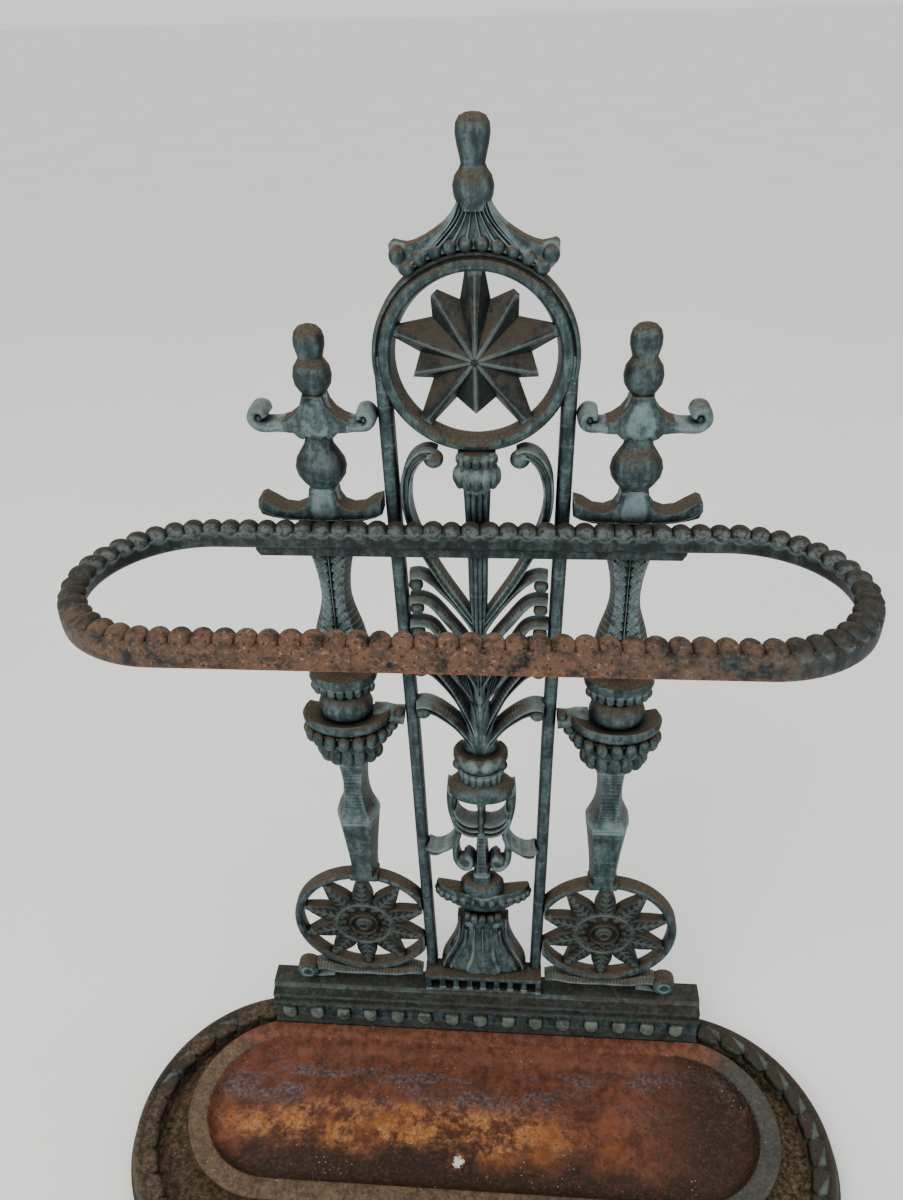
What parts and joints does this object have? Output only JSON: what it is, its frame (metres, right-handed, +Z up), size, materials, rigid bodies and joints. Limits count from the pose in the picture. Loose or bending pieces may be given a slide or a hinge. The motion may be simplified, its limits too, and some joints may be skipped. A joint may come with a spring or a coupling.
{
  "type": "umbrella and stick stand",
  "caption": "Cast-iron umbrella stand with a pierced ornamental back, an oval holder hoop, an oval base tray and a lift-out drip pan.",
  "frame": {"origin": "on the floor under the centre of the base tray, which is the bottom centre of the whole stand", "axes": "+Z up, +Y towards the flat back of the panel, +X to the right seen from the front"},
  "size_m": [0.508, 0.2134, 0.6713],
  "materials": {
    "panel_paint": "old dark green-grey paint, matt, worn pale on raised edges, dusty on top",
    "hoop_paint": "worn paint, brown with fine speckled rust",
    "tray_paint": "old dark green-grey paint with brown dirt in the hollows",
    "pan_rust": "red-brown rust over dark iron, with stains and dried dirt",
    "steel": "dull dark iron fastener, lightly rusted"
  },
  "bodies": {
    "stand": {"crown_finial": "panel_paint", "star_medallion": "panel_paint", "torch": "panel_paint", "palmette": "panel_paint", "urn": "panel_paint", "pedestal": "panel_paint", "pedestal_block": "panel_paint", "plinth": "panel_paint", "holder_hoop": "hoop_paint", "right_bar": "panel_paint", "left_bar": "panel_paint", "right_column": "panel_paint", "left_column": "panel_paint", "right_rosette": "panel_paint", "left_rosette": "panel_paint", "right_plinth_scroll": "panel_paint", "left_plinth_scroll": "panel_paint", "right_holder_screw": "steel", "left_holder_screw": "steel", "base_tray": "tray_paint", "right_base_washer": "steel", "left_base_washer": "steel", "right_base_bolt": "steel", "left_base_bolt": "steel"},
    "drip_pan": {"drip_pan": "pan_rust"}
  },
  "joints": [
    {"name": "drip_pan_lift", "type": "slide", "parent": "stand", "child": "drip_pan", "axis": [0, 0, 1], "range_m": [0, 0.1]}
  ]
}
